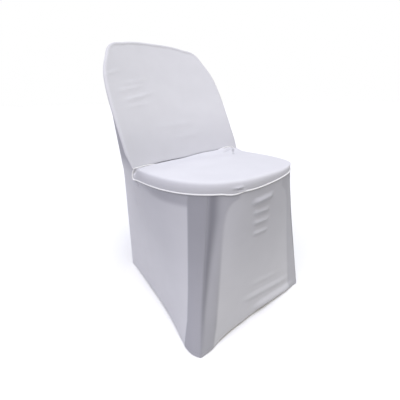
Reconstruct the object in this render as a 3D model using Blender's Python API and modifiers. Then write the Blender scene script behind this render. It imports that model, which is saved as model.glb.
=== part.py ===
"""A stretch cover for an armless one-piece chair: seven cloth pieces, hollow, standing in the shape it is worn in.

Metres, +Z up. The front of the seat looks along -Y. The origin is on the floor, in the middle of the footprint.
Half widths are measured from the plane x = 0 and depths from the line through the corners of the front feet.
"""

import math

import bmesh
import bpy
import numpy as np
from mathutils import Vector

for thing in list(bpy.data.objects):
    bpy.data.objects.remove(thing, do_unlink=True)

# Cloth and seams
CLOTH = 0.0014  # thickness of the knit with its stretch
SEAM_GAP = 0.0005  # open line between two sewn edges
PIPING_RADIUS = 0.0020
PIPING_CLEAR = PIPING_RADIUS + 0.0007  # from the middle of the piping to a cut edge

# Feet and hem
FRONT_FEET_Y = -0.2965  # where the line of depth 0 lies
FRONT_FOOT_HALF = 0.222
FOOT_FLARE = 0.021  # the foot's side edge stands out this far
FOOT_FLARE_DEPTH = 0.055
REAR_FOOT_HALF = 0.224
REAR_FOOT_DEPTH = 0.487
FRONT_HEM_DRAW = 0.0055  # the free hem is drawn in and up between the feet
FRONT_HEM_LIFT = 0.008
SIDE_HEM_LIFT = 0.004
REAR_HEM_LIFT = 0.007

# Seat: the sewn line that the piping covers, then the cap above it
SEAT_HALF = 0.216
SEAT_FRONT_DEPTH = 0.0125  # middle of the front edge
SEAT_SIDE_END = 0.311  # where the side has its full width
SEAT_ROUNDNESS = 2.79  # exponent of the curve from the front to there: 2 is an ellipse
SEAT_FRONT_Z = 0.4372
SEAT_SLOPE = 0.0855  # the sewn line falls this much for each metre back
CORNER_SHARE = 0.71  # the skirt's corner seam meets the curve at this share of its half width
CAP_FRONT_HEIGHT = 0.026
CAP_HEIGHT = 0.035  # at the end of the side
CAP_CROWN = 0.005
CAP_EDGE_RADIUS = 0.013
CAP_REAR_HEIGHT = 0.0015  # the cap lies flat against the foot of the back
CAP_REAR_INSET = 0.35  # share of the edge radius that is left there
CAP_PROFILE = ((0.0, 0.0), (0.05, 0.35), (0.2, 0.65), (0.55, 0.88), (1.0, 1.0))  # inset and height, as shares
CAP_TOP_SHARES = (0.12, 0.32, 0.6)  # rings on the top, as shares of the way to the middle
DIP_X = -0.105  # the piping is pulled down here
DIP_DEPTH = 0.004
DIP_HALF_LENGTH = 0.028

# Back
BACK_FOOT_Z = 0.4417
BACK_TOP_Z = 0.820
BACK_HALF = 0.227
BACK_SIDE_POWER = 5.45  # how long the sides stay straight before they turn in
BACK_TOP_POWER = 3.03  # how square the top corners are
BACK_FOOT_DEPTH = 0.369
BACK_TOP_DEPTH = 0.580
BACK_WRAP = 0.034  # the sides stand this far in front of the middle
RIM_RADIUS = 0.009  # the rolled edge of the back
FOOT_DRAW_HEIGHT = 0.045  # over this height the back's foot is drawn in to the piping's corner
FOOT_DRAW = 0.0060
FOOT_RIM_RADIUS = 0.0045
# The top corners are fuller than the curve, and straighter below: half width, height, reach, how far out
BACK_CORNERS = ((0.163, 0.799, 0.050, 0.008), (0.197, 0.745, 0.045, -0.0015))
MERGE_SHARE = 0.82  # share of the back's height where the side panel's tip ends

# Rear edge of a side panel: height, half width, depth
REAR_EDGE = (
    (0.00, 0.224, 0.487),
    (0.22, 0.211, 0.487),
    (0.42, 0.199, 0.487),
    (0.60, 0.197, 0.505),
)
REAR_EDGE_SOFTNESS = 0.045  # height over which its bends are rounded

WHITE = (0.82, 0.83, 0.87)  # bleached knit with a cool cast, linear

WELD = 0.00001
LEAST_MITRE = 0.55  # a sharper corner is cut off
MOST_EDGE_TURN = -0.3  # cosine of the sharpest turn that an edge's gap is measured across
SHARP_EDGE = math.radians(50)

# Grid counts, shared by pieces that are sewn together
SKIRT_ROWS = 14
TIP_ROWS = 2
FRONT_COLUMNS = 20
SIDE_SEAT_COLUMNS = 10
SIDE_RIM_COLUMNS = 12
TOP_COLUMNS = 16
ROLL_ROWS = 3
REAR_CORNER_STEPS = 4
REAR_LINE_COLUMNS = 8


def smooth_step(t):
    t = np.clip(t, 0.0, 1.0)
    return t * t * (3 - 2 * t)


def mirrored(points):
    return points * np.array([-1.0, 1.0, 1.0])


def placed(points):
    """Depths turned into y."""
    return points + np.array([0.0, FRONT_FEET_Y, 0.0])


def line(start, end, steps):
    t = np.linspace(0.0, 1.0, steps + 1)[:, None]
    return (1 - t) * np.array(start) + t * np.array(end)


def coons(bottom, top, left, right):
    """A surface between four edges that meet at their ends: grid[column, row]."""
    u = np.linspace(0.0, 1.0, len(bottom))[:, None, None]
    v = np.linspace(0.0, 1.0, len(left))[None, :, None]
    between_rows = (1 - v) * bottom[:, None] + v * top[:, None]
    between_columns = (1 - u) * left[None] + u * right[None]
    corners = (
        (1 - u) * (1 - v) * bottom[0]
        + u * (1 - v) * bottom[-1]
        + (1 - u) * v * top[0]
        + u * v * top[-1]
    )
    return between_rows + between_columns - corners


# Seat line

def seat_z(depth):
    return SEAT_FRONT_Z - SEAT_SLOPE * (depth - SEAT_FRONT_DEPTH)


def cap_top(depth):
    """Height of the cap's edge, before its crown."""
    share = (depth - SEAT_FRONT_DEPTH) / (SEAT_SIDE_END - SEAT_FRONT_DEPTH)
    return seat_z(depth) + CAP_FRONT_HEIGHT + (CAP_HEIGHT - CAP_FRONT_HEIGHT) * np.clip(share, 0, 1)


def seat_point(share):
    """A point of the seat's curve at this share of the half width, on the left."""
    rest = (1 - share**SEAT_ROUNDNESS) ** (1 / SEAT_ROUNDNESS)
    depth = SEAT_SIDE_END - (SEAT_SIDE_END - SEAT_FRONT_DEPTH) * rest
    return (-SEAT_HALF * share, depth, seat_z(depth))


def seat_front_half():
    """From the middle of the front to the skirt's corner seam."""
    shares = np.linspace(0.0, CORNER_SHARE, FRONT_COLUMNS // 2 + 1)
    return np.array([seat_point(share) for share in shares])


def seat_side():
    """From the corner seam to where the side has its full width."""
    start = math.acos(CORNER_SHARE ** (SEAT_ROUNDNESS / 2))
    angles = np.linspace(start, 0.0, SIDE_SEAT_COLUMNS + 1)
    return np.array([seat_point(math.cos(a) ** (2 / SEAT_ROUNDNESS)) for a in angles])


def back_depth(x, z):
    """Depth of the back's front face: it leans back, and its sides come forward."""
    share = (z - BACK_FOOT_Z) / (BACK_TOP_Z - BACK_FOOT_Z)
    lean = (BACK_TOP_DEPTH - BACK_FOOT_DEPTH) * share
    return BACK_FOOT_DEPTH + lean - BACK_WRAP * (x / BACK_HALF) ** 2


def seat_rear_corner():
    """The piping climbs beside the seat's rear corner to the foot of the back."""
    t = np.linspace(0.0, 1.0, REAR_CORNER_STEPS + 1)
    depth = SEAT_SIDE_END + (back_depth(SEAT_HALF, BACK_FOOT_Z) - SEAT_SIDE_END) * t
    z = seat_z(SEAT_SIDE_END) + (BACK_FOOT_Z - seat_z(SEAT_SIDE_END)) * smooth_step(t)
    return np.column_stack([np.full(len(t), -SEAT_HALF), depth, z])


def seat_rear_line():
    x = np.linspace(-SEAT_HALF, 0.0, REAR_LINE_COLUMNS + 1)
    return np.column_stack([x, back_depth(x, BACK_FOOT_Z), np.full(len(x), BACK_FOOT_Z)])


def dipped(points):
    """The front of the seat line with its pulled-down place."""
    near = (points[:, 0] - DIP_X) / DIP_HALF_LENGTH
    front = points[:, 1] < SEAT_SIDE_END
    drop = DIP_DEPTH * np.clip(1 - near**2, 0, 1) ** 2 * front
    return points - np.column_stack([0 * drop, 0 * drop, drop])


def seat_loop():
    """Round the seat once, from the middle of the front over the left side, without the end that repeats."""
    half = np.vstack([
        seat_front_half(), seat_side()[1:], seat_rear_corner()[1:], seat_rear_line()[1:],
    ])
    return dipped(np.vstack([half, mirrored(half[::-1])[1:-1]]))


# Rim of the back

def rim_side_shares():
    return MERGE_SHARE * np.linspace(0.0, 1.0, SIDE_RIM_COLUMNS + 1) ** 1.2


def rim_half_width(share):
    return BACK_HALF * np.maximum(1 - share**BACK_SIDE_POWER, 0) ** (1 / BACK_TOP_POWER)


def across(outline):
    """Unit vectors that point out of a curve in the plane of the back, one for each of its points."""
    along = np.gradient(outline, axis=0)
    away = np.column_stack([-along[:, 1], along[:, 0]])
    return away / np.linalg.norm(away, axis=1)[:, None]


def rim_outline():
    """The back's outline from the left foot over the top to the right foot: x and z, outward directions, radii."""
    side = rim_side_shares()
    merge_width = rim_half_width(MERGE_SHARE)
    x = np.linspace(-merge_width, 0.0, TOP_COLUMNS // 2 + 1)[1:]
    top = np.maximum(1 - (-x / BACK_HALF) ** BACK_TOP_POWER, 0) ** (1 / BACK_SIDE_POWER)
    half_x = np.concatenate([-rim_half_width(side), x])
    half_share = np.concatenate([side, top])
    height = half_share * (BACK_TOP_Z - BACK_FOOT_Z)
    drawn = smooth_step(1 - height / FOOT_DRAW_HEIGHT)
    half_x += FOOT_DRAW * drawn
    half_z = BACK_FOOT_Z + height + PIPING_CLEAR * drawn
    half_radius = RIM_RADIUS + (FOOT_RIM_RADIUS - RIM_RADIUS) * drawn
    outline_x = np.concatenate([half_x, -half_x[::-1][1:]])
    outline_z = np.concatenate([half_z, half_z[::-1][1:]])
    radius = np.concatenate([half_radius, half_radius[::-1][1:]])[:, None]
    outline = np.column_stack([outline_x, outline_z])
    for half, height, reach, out in BACK_CORNERS:
        gap = np.hypot(np.abs(outline_x) - half, outline_z - height) / reach
        outline = outline + (out * np.clip(1 - gap**2, 0, 1) ** 2)[:, None] * across(outline)
    return outline, across(outline), radius


def rim_at(turn):
    """The rolled edge at this turn: 0 on the front face, a quarter turn at the outline, a half turn behind it."""
    outline, away, radius = rim_outline()
    face = outline - radius * away
    shifted = outline - radius * (1 - math.sin(turn)) * away
    depth = back_depth(face[:, 0], face[:, 1]) + radius[:, 0] * (1 - math.cos(turn))
    return np.column_stack([shifted[:, 0], depth, shifted[:, 1]])


def rear_edge():
    """Left rear edge, from the floor to the rim, then round the rim's rear quarter to its outline."""
    merge = rim_at(math.pi)[SIDE_RIM_COLUMNS]
    rows = np.array(REAR_EDGE + ((merge[2], -merge[0], merge[1]),))
    heights = np.linspace(0.0, merge[2], SKIRT_ROWS - TIP_ROWS + 1)
    offsets = np.array([-1.0, 0.0, 1.0]) * REAR_EDGE_SOFTNESS
    offsets = offsets[:, None] * np.minimum(1, np.minimum(heights, merge[2] - heights) / REAR_EDGE_SOFTNESS)
    half = np.interp(heights + offsets, rows[:, 0], rows[:, 1]).mean(axis=0)
    depth = np.interp(heights + offsets, rows[:, 0], rows[:, 2]).mean(axis=0)
    tip = [rim_at(math.pi * (1 - 0.5 * k / TIP_ROWS))[SIDE_RIM_COLUMNS] for k in range(1, TIP_ROWS + 1)]
    return np.vstack([np.column_stack([-half, depth, heights]), tip])


# Hem

def side_hem(depths):
    """The side's hem: out over the foot's side edge, then straight back, a little lifted."""
    run = depths / FOOT_FLARE_DEPTH
    flare = FOOT_FLARE * run * np.exp(1 - run)
    share = depths / REAR_FOOT_DEPTH
    half = FRONT_FOOT_HALF + (REAR_FOOT_HALF - FRONT_FOOT_HALF) * share + flare * (1 - share)
    return np.column_stack([-half, depths, SIDE_HEM_LIFT * np.sin(math.pi * share)])


def front_hem():
    x = np.linspace(-FRONT_FOOT_HALF, FRONT_FOOT_HALF, FRONT_COLUMNS + 1)
    arch = 1 - (x / FRONT_FOOT_HALF) ** 2
    return np.column_stack([x, FRONT_HEM_DRAW * arch, FRONT_HEM_LIFT * arch])


def rear_hem():
    x = np.linspace(-REAR_FOOT_HALF, REAR_FOOT_HALF, TOP_COLUMNS + 1)
    arch = 1 - (x / REAR_FOOT_HALF) ** 2
    return np.column_stack([x, np.full(len(x), REAR_FOOT_DEPTH), REAR_HEM_LIFT * arch])


# Grids of the panels

DOWN = np.array([0.0, 0.0, -PIPING_CLEAR])


def corner_seam():
    """The skirt's seam on the front leg, from the foot to the seat."""
    return line((-FRONT_FOOT_HALF, 0.0, 0.0), seat_front_half()[-1] + DOWN, SKIRT_ROWS)


def front_grid():
    half = seat_front_half()
    top = dipped(np.vstack([half[::-1], mirrored(half[1:])])) + DOWN
    return coons(front_hem(), top, corner_seam(), mirrored(corner_seam()))


def beside_rear_corner():
    """The side panel's edge turns from below the climbing piping to outside it."""
    climb = seat_rear_corner()
    along = np.gradient(climb, axis=0)
    along /= np.linalg.norm(along, axis=1)[:, None]
    share = np.linspace(0.0, 1.0, len(climb))[:, None]
    off = (1 - share) * np.array([0.0, 0.0, -1.0]) + share * np.array([-1.0, 0.0, 0.0])
    off -= (off * along).sum(axis=1)[:, None] * along
    off /= np.linalg.norm(off, axis=1)[:, None]
    return (climb + (PIPING_CLEAR + np.sqrt(share) * CLOTH) * off)[1:-1]


def side_grid():
    rim = rim_at(math.pi / 2)[: SIDE_RIM_COLUMNS + 1]
    top = np.vstack([seat_side() + DOWN, beside_rear_corner(), rim])
    reach = (top[:, 1] - top[0, 1]) / (top[-1, 1] - top[0, 1])
    hem = side_hem(REAR_FOOT_DEPTH * reach)
    hem[-1] = rear_edge()[0]
    return coons(hem, top, corner_seam(), rear_edge())


def inside_back_grids():
    """The front face between its foot and the rim, then the roll, whose columns run round three sides."""
    face_rim = rim_at(0.0)
    left = face_rim[: SIDE_RIM_COLUMNS + 1]
    top = face_rim[SIDE_RIM_COLUMNS : SIDE_RIM_COLUMNS + TOP_COLUMNS + 1]
    right = face_rim[SIDE_RIM_COLUMNS + TOP_COLUMNS :][::-1]
    foot = line(left[0], right[0], TOP_COLUMNS)
    face = coons(foot, top, left, right)
    face[:, :, 1] = back_depth(face[:, :, 0], face[:, :, 2])
    roll = np.stack([rim_at(math.pi / 2 * k / ROLL_ROWS) for k in range(ROLL_ROWS + 1)], axis=1)
    return [face, roll]


def outside_back_grid():
    edge = rear_edge()[: SKIRT_ROWS - TIP_ROWS + 1]
    span = slice(SIDE_RIM_COLUMNS, SIDE_RIM_COLUMNS + TOP_COLUMNS + 1)
    face = coons(rear_hem(), rim_at(math.pi)[span], edge, mirrored(edge))
    roll = [rim_at(math.pi * (1 - 0.5 * k / TIP_ROWS))[span] for k in range(1, TIP_ROWS + 1)]
    return np.concatenate([face, np.stack(roll, axis=1)], axis=1)


def cap_rings():
    """Rings of the seat's cap, from its cut edge over the rounded rim towards the middle of the seat."""
    loop = seat_loop()
    middle = np.array([0.0, loop[:, 1].mean(), 0.0])
    ahead = np.roll(loop, -1, axis=0) - loop
    ahead /= np.linalg.norm(ahead, axis=1)[:, None]
    along = ahead + np.roll(ahead, 1, axis=0)
    along /= np.linalg.norm(along, axis=1)[:, None]
    mitre = 1 / (along * ahead).sum(axis=1)[:, None]
    inward = np.column_stack([along[:, 1], -along[:, 0], 0 * along[:, 0]])
    inward /= np.linalg.norm(inward, axis=1)[:, None]
    inward *= np.sign((inward * (middle - loop)).sum(axis=1))[:, None]
    height = np.maximum(cap_top(loop[:, 1]) - loop[:, 2], CAP_REAR_HEIGHT)[:, None]
    upright = np.clip((height - CAP_REAR_HEIGHT) / (CAP_FRONT_HEIGHT - CAP_REAR_HEIGHT), 0, 1)
    up = np.array([0.0, 0.0, 1.0])
    off = upright * up + (1 - upright) * inward
    off -= (off * along).sum(axis=1)[:, None] * along
    off /= np.linalg.norm(off, axis=1)[:, None]
    start = loop + PIPING_CLEAR * mitre * off
    rise = height - PIPING_CLEAR * upright
    rings = []
    for inset, lift in CAP_PROFILE:
        reach = CAP_EDGE_RADIUS * inset * (CAP_REAR_INSET + (1 - CAP_REAR_INSET) * upright)
        rings.append(start + reach * inward + rise * lift * up)
    rim = rings[-1]
    centre = np.array([0.0, middle[1], cap_top(middle[1]) + CAP_CROWN])
    for share in CAP_TOP_SHARES:
        ring = rim + share * (centre - rim)
        level = cap_top(ring[:, 1]) + CAP_CROWN * (1 - (1 - share) ** 2)
        ring[:, 2] = level * share + rim[:, 2] * (1 - share) + CAP_CROWN * share * (1 - share)
        rings.append(ring)
    return rings, centre


# Meshes

def surface(grids, toward):
    """An open surface of these grids, welded where they meet, facing the side that looks toward."""
    bm = bmesh.new()
    for grid in grids:
        verts = [[bm.verts.new(point) for point in column] for column in placed(grid)]
        for left, right in zip(verts, verts[1:]):
            for k in range(len(left) - 1):
                bm.faces.new([left[k], right[k], right[k + 1], left[k + 1]])
    bmesh.ops.remove_doubles(bm, verts=bm.verts, dist=WELD)
    bm.normal_update()
    if sum(face.normal.dot(toward) * face.calc_area() for face in bm.faces) < 0:
        bmesh.ops.reverse_faces(bm, faces=bm.faces)
    bm.normal_update()
    return bm


def point_key(point):
    return tuple(round(value / WELD) for value in point)


def shared_directions(surfaces):
    """For each point, the mean direction of the panels that meet there, long enough to keep the cloth's thickness."""
    members = {}
    for bm in surfaces:
        for vert in bm.verts:
            members.setdefault(point_key(vert.co), []).append(vert.normal.copy())
    shared = {}
    for key, normals in members.items():
        mean = sum(normals[1:], normals[0].copy()).normalized()
        shared[key] = mean / max(min(mean.dot(normal) for normal in normals), LEAST_MITRE)
    return shared


def way_in(vert):
    """From an edge point of an open surface towards its cloth, as long as moves both edges there by 1."""
    ways = []
    for edge in vert.link_edges:
        if edge.is_boundary:
            face = edge.link_faces[0]
            way = face.normal.cross(edge.verts[1].co - edge.verts[0].co).normalized()
            ways.append(way if way.dot(face.calc_center_median() - edge.verts[0].co) > 0 else -way)
    return (ways[0] + ways[1]) / (1 + max(ways[0].dot(ways[1]), MOST_EDGE_TURN))


def thickened(name, bm, directions):
    """The closed sheet under an open surface: its seams opened by half a gap, its cut edges mitred."""
    outer = {vert: vert.co.copy() for vert in bm.verts}
    inner = {vert: vert.co - CLOTH * directions[point_key(vert.co)] for vert in bm.verts}
    for vert in bm.verts:
        if vert.is_boundary:
            step = SEAM_GAP / 2 * way_in(vert)
            outer[vert] += step
            inner[vert] += step
    sheet = bmesh.new()
    top = {vert: sheet.verts.new(place) for vert, place in outer.items()}
    under = {vert: sheet.verts.new(place) for vert, place in inner.items()}
    for face in bm.faces:
        sheet.faces.new([top[vert] for vert in face.verts])
        sheet.faces.new([under[vert] for vert in reversed(face.verts)])
    for edge in bm.edges:
        if edge.is_boundary:
            a, b = edge.verts
            sheet.faces.new([top[a], top[b], under[b], under[a]])
    bmesh.ops.recalc_face_normals(sheet, faces=sheet.faces)
    mesh = bpy.data.meshes.new(name)
    sheet.to_mesh(mesh)
    sheet.free()
    return mesh


def cap_mesh(name):
    """The open top surface of the seat's cap. Solidify gives it the cloth's thickness."""
    rings, centre = cap_rings()
    bm = bmesh.new()
    rows = [[bm.verts.new(point) for point in placed(ring)] for ring in rings]
    hub = bm.verts.new(placed(centre))
    for low, high in zip(rows, rows[1:]):
        for k in range(len(low)):
            bm.faces.new([low[k - 1], low[k], high[k], high[k - 1]])
    for k in range(len(rows[-1])):
        bm.faces.new([rows[-1][k - 1], rows[-1][k], hub])
    bm.normal_update()
    if sum(face.normal.z for face in bm.faces) < 0:
        bmesh.ops.reverse_faces(bm, faces=bm.faces)
    mesh = bpy.data.meshes.new(name)
    bm.to_mesh(mesh)
    bm.free()
    return mesh


def piping_curve(name):
    points = placed(seat_loop())
    curve = bpy.data.curves.new(name, "CURVE")
    curve.dimensions = "3D"
    curve.bevel_depth = PIPING_RADIUS
    curve.bevel_resolution = 1
    spline = curve.splines.new("POLY")
    spline.points.add(len(points) - 1)
    for point, place in zip(spline.points, points):
        point.co = (*place, 1.0)
    spline.use_cyclic_u = True
    return curve


def knit_material(name):
    material = bpy.data.materials.new(name)
    material.use_nodes = True
    shader = material.node_tree.nodes["Principled BSDF"]
    shader.inputs["Base Color"].default_value = (*WHITE, 1.0)
    shader.inputs["Roughness"].default_value = 0.75
    shader.inputs["Metallic"].default_value = 0.0
    return material


def add_piece(name, data):
    data.materials.append(knit_material(name + "_knit"))
    piece = bpy.data.objects.new(name, data)
    cover.objects.link(piece)
    return piece


cover = bpy.data.collections.new("chair_cover")
bpy.context.scene.collection.children.link(cover)

panels = {
    "front_skirt": surface([front_grid()], Vector((0, -1, 0))),
    "left_side": surface([side_grid()], Vector((-1, 0, 0))),
    "right_side": surface([mirrored(side_grid())], Vector((1, 0, 0))),
    "inside_back": surface(inside_back_grids(), Vector((0, -1, 0))),
    "outside_back": surface([outside_back_grid()], Vector((0, 1, 0))),
}
directions = shared_directions(panels.values())
for panel_name, panel in panels.items():
    add_piece(panel_name, thickened(panel_name, panel, directions))
    panel.free()

cap = add_piece("seat_cap", cap_mesh("seat_cap"))
thickness = cap.modifiers.new("Cloth", "SOLIDIFY")
thickness.thickness = CLOTH
thickness.offset = -1.0
thickness.use_even_offset = True

add_piece("seat_piping", piping_curve("seat_piping"))

for piece in cover.objects:
    if piece.type == "MESH":
        piece.data.shade_smooth()
        piece.data.set_sharp_from_angle(angle=SHARP_EDGE)
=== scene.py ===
# %% [markdown]
# # A stretch cover for a chair
#
# The real thing is a white knitted cover, cut in seven pieces and pulled over an armless one-piece
# chair. The chair gives it its shape: the cloth lies flat on the seat and the back, runs straight
# down the legs, and spans the open spaces between them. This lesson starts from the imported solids,
# then makes each piece of cloth again, finer, with its seams, creases and knit.

# %% Load the frame
import math

import bmesh
import bpy
import numpy as np
from mathutils import Matrix, Vector, kdtree


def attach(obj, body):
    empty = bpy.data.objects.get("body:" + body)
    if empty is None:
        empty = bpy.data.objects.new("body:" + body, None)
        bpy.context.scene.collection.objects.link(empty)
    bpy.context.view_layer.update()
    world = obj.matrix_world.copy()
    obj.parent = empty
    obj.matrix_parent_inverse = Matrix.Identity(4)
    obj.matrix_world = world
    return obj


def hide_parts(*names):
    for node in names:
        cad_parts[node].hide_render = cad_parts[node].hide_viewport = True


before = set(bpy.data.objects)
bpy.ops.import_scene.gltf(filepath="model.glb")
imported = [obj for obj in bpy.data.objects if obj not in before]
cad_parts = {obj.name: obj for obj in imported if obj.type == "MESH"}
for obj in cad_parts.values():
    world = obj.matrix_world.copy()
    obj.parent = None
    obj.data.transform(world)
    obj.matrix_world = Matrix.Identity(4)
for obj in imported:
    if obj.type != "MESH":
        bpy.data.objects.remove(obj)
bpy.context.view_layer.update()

print("solids", sorted(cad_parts))

# %% [markdown]
# ## The sizes
#
# The cover is worked out from a few named sizes, the ones that a maker would write on the pattern.
# Widths are measured from the middle of the chair, depths from the line through its front feet,
# heights from the floor. Pieces that are sewn together read the same numbers.

# %% Sizes of the worn cover, in metres
CLOTH = 0.0012
FRONT_FEET_Y = -0.2965

PIPING_RADIUS = 0.0020
PIPING_TUCK = 0.0019  # the cut edges reach in under the bead

FRONT_FOOT_HALF = 0.222
FOOT_FLARE = 0.021
FOOT_FLARE_DEPTH = 0.055
REAR_FOOT_HALF = 0.224
REAR_FOOT_DEPTH = 0.487
FRONT_HEM_DRAW = 0.0055
FRONT_HEM_LIFT = 0.008
SIDE_HEM_LIFT = 0.004
REAR_HEM_LIFT = 0.007

SEAT_HALF = 0.216
SEAT_FRONT_DEPTH = 0.0125
SEAT_SIDE_END = 0.311
SEAT_ROUNDNESS = 2.79
SEAT_FRONT_Z = 0.4372
SEAT_SLOPE = 0.0855
CORNER_SHARE = 0.71
CAP_FRONT_HEIGHT = 0.026
CAP_HEIGHT = 0.035
CAP_CROWN = 0.005
CAP_EDGE_RADIUS = 0.013
CAP_EDGE_POWER = 2.2
CAP_REAR_HEIGHT = 0.0015
CAP_REAR_INSET = 0.35
DIP_X = -0.105
DIP_DEPTH = 0.004
DIP_HALF_LENGTH = 0.028

# Before it climbs to the back the piping stands out round each rear corner of the seat
EAR_OUT = 0.008
EAR_BACK = 0.006
EAR_CLIMB_FROM = 0.35  # share of the corner's length at which it starts to climb
EAR_REACH = 0.035  # how far down the side the cloth follows

# On the right the seat's rear edge is pulled up the back, more at its corner: height, from x, over
REAR_LIFTS = ((0.008, -0.04, 0.14), (0.007, 0.10, 0.09))
CORNER_DROP = 0.020

# Towards the right front corner the seam is drawn up, and the cap's edge is lower there
FRONT_RAISE = 0.011
RAISE_FROM = -0.06  # x
RAISE_OVER = 0.19
RAISE_BACK_TO = 0.20  # depth
RAISE_BACK_OVER = 0.15
RAISE_BELOW = 0.16  # metres down the skirt over which the cloth follows

BACK_FOOT_Z = 0.4417
BACK_TOP_Z = 0.820
BACK_HALF = 0.227
BACK_SIDE_POWER = 5.45
BACK_TOP_POWER = 3.03
BACK_FOOT_DEPTH = 0.369
BACK_TOP_DEPTH = 0.580
BACK_RISE = (BACK_TOP_DEPTH - BACK_FOOT_DEPTH) / (BACK_TOP_Z - BACK_FOOT_Z)
BACK_WRAP = 0.034
RIM_RADIUS = 0.009
FOOT_DRAW_HEIGHT = 0.045
FOOT_DRAW = 0.0060
FOOT_RIM_RADIUS = 0.0045
# The top corners are fuller than the curve, and straighter below: half width, height, reach, out
BACK_CORNERS = ((0.163, 0.799, 0.050, 0.008), (0.197, 0.745, 0.045, -0.0015))
MERGE_SHARE = 0.82

# height, half width, depth
REAR_EDGE = (
    (0.00, 0.224, 0.487),
    (0.22, 0.211, 0.487),
    (0.42, 0.199, 0.487),
    (0.60, 0.197, 0.505),
)
REAR_EDGE_SOFTNESS = 0.045

# %% [markdown]
# ## How fine the cloth is
#
# Each panel is a grid of points. DETAIL multiplies the counts, so the same curves can be tried
# coarse and made fine. At 8 the points are about 3 mm apart, enough for creases 20 mm wide.

# %% Counts of the grids
DETAIL = 8

SKIRT_ROWS = 14 * DETAIL
TIP_ROWS = DETAIL
FRONT_COLUMNS = 20 * DETAIL
SIDE_SEAT_COLUMNS = 10 * DETAIL
SIDE_RIM_COLUMNS = 12 * DETAIL
REAR_CORNER_STEPS = 3 * DETAIL
REAR_LINE_COLUMNS = 8 * DETAIL
TOP_COLUMNS = 16 * DETAIL
ROLL_ROWS = DETAIL


# %% Small helpers for points
UP = np.array([0.0, 0.0, 1.0])


def smooth_step(t):
    t = np.clip(t, 0.0, 1.0)
    return t * t * (3 - 2 * t)


def arch(values, reach):
    """1 in the middle, and a parabola down to 0 at this reach."""
    return np.clip(1 - (values / reach) ** 2, 0, 1)


def mirrored(points):
    return points * np.array([-1.0, 1.0, 1.0])


def placed(points):
    """Depths turned into y."""
    return points + np.array([0.0, FRONT_FEET_Y, 0.0])


def unit(vectors):
    return vectors / np.linalg.norm(vectors, axis=-1)[..., None]


def read_table(table, at, column=1):
    rows = np.array(table)
    return np.interp(at, rows[:, 0], rows[:, column])


def line(start, end, steps):
    t = np.linspace(0.0, 1.0, steps + 1)[:, None]
    return (1 - t) * np.array(start) + t * np.array(end)


def coons(bottom, top, left, right):
    """A surface between four edges that meet at their ends: grid[column, row]."""
    u = np.linspace(0.0, 1.0, len(bottom))[:, None, None]
    v = np.linspace(0.0, 1.0, len(left))[None, :, None]
    rows = (1 - v) * bottom[:, None] + v * top[:, None]
    columns = (1 - u) * left[None] + u * right[None]
    low = (1 - u) * bottom[0] + u * bottom[-1]
    high = (1 - u) * top[0] + u * top[-1]
    return rows + columns - (1 - v) * low - v * high


# %% [markdown]
# ## The seat line
#
# The seam that the piping covers is the line that everything else hangs from. In front and along
# the sides it is half of a flattened ellipse, and at the rear it climbs to the foot of the back.
# Formulas are better than hand-placed points here, because the skirt and the cap must follow the
# same line. A worn cover is never quite even, so four small shifts follow, each in a function.

# %% The line of the piping
def seat_z(depth):
    return SEAT_FRONT_Z - SEAT_SLOPE * (depth - SEAT_FRONT_DEPTH)


def cap_top(depth):
    """Height of the cap's edge, before its crown."""
    share = (depth - SEAT_FRONT_DEPTH) / (SEAT_SIDE_END - SEAT_FRONT_DEPTH)
    return seat_z(depth) + CAP_FRONT_HEIGHT + (CAP_HEIGHT - CAP_FRONT_HEIGHT) * np.clip(share, 0, 1)


def seat_point(share):
    """A point of the seat's curve at this share of the half width, on the left."""
    rest = (1 - share**SEAT_ROUNDNESS) ** (1 / SEAT_ROUNDNESS)
    depth = SEAT_SIDE_END - (SEAT_SIDE_END - SEAT_FRONT_DEPTH) * rest
    return (-SEAT_HALF * share, depth, seat_z(depth))


def seat_front_half():
    shares = np.linspace(0.0, CORNER_SHARE, FRONT_COLUMNS // 2 + 1)
    return np.array([seat_point(share) for share in shares])


def seat_side():
    start = math.acos(CORNER_SHARE ** (SEAT_ROUNDNESS / 2))
    angles = np.linspace(start, 0.0, SIDE_SEAT_COLUMNS + 1)
    return np.array([seat_point(math.cos(a) ** (2 / SEAT_ROUNDNESS)) for a in angles])


def back_depth(x, z):
    """Depth of the back's front face: it leans back, and its sides come forward."""
    lean = BACK_RISE * (z - BACK_FOOT_Z)
    return BACK_FOOT_DEPTH + lean - BACK_WRAP * (x / BACK_HALF) ** 2


CORNER_RUN = back_depth(SEAT_HALF, BACK_FOOT_Z) - SEAT_SIDE_END
CORNER_CLIMB = BACK_FOOT_Z - seat_z(SEAT_SIDE_END)


def seat_rear_corner():
    t = np.linspace(0.0, 1.0, REAR_CORNER_STEPS + 1)
    z = seat_z(SEAT_SIDE_END) + CORNER_CLIMB * smooth_step(t)
    return np.column_stack([np.full(len(t), -SEAT_HALF), SEAT_SIDE_END + CORNER_RUN * t, z])


def ear():
    """How far the worn corner stands away from the plain climb, at each of its points."""
    t = np.linspace(0.0, 1.0, REAR_CORNER_STEPS + 1)
    out = EAR_OUT * np.sin(math.pi * t) ** 2
    depth = CORNER_RUN * (t - t**2) + EAR_BACK * np.sin(math.pi * t)
    late = smooth_step((t - EAR_CLIMB_FROM) / (1 - EAR_CLIMB_FROM)) - smooth_step(t)
    return np.column_stack([-out, depth, CORNER_CLIMB * late])


def seat_rear_line():
    x = np.linspace(-SEAT_HALF, 0.0, REAR_LINE_COLUMNS + 1)
    return np.column_stack([x, back_depth(x, BACK_FOOT_Z), np.full(len(x), BACK_FOOT_Z)])


def rear_lift(x):
    lift = sum(height * smooth_step((x - start) / over) for height, start, over in REAR_LIFTS)
    return lift * smooth_step((SEAT_HALF - x) / CORNER_DROP)


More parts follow.
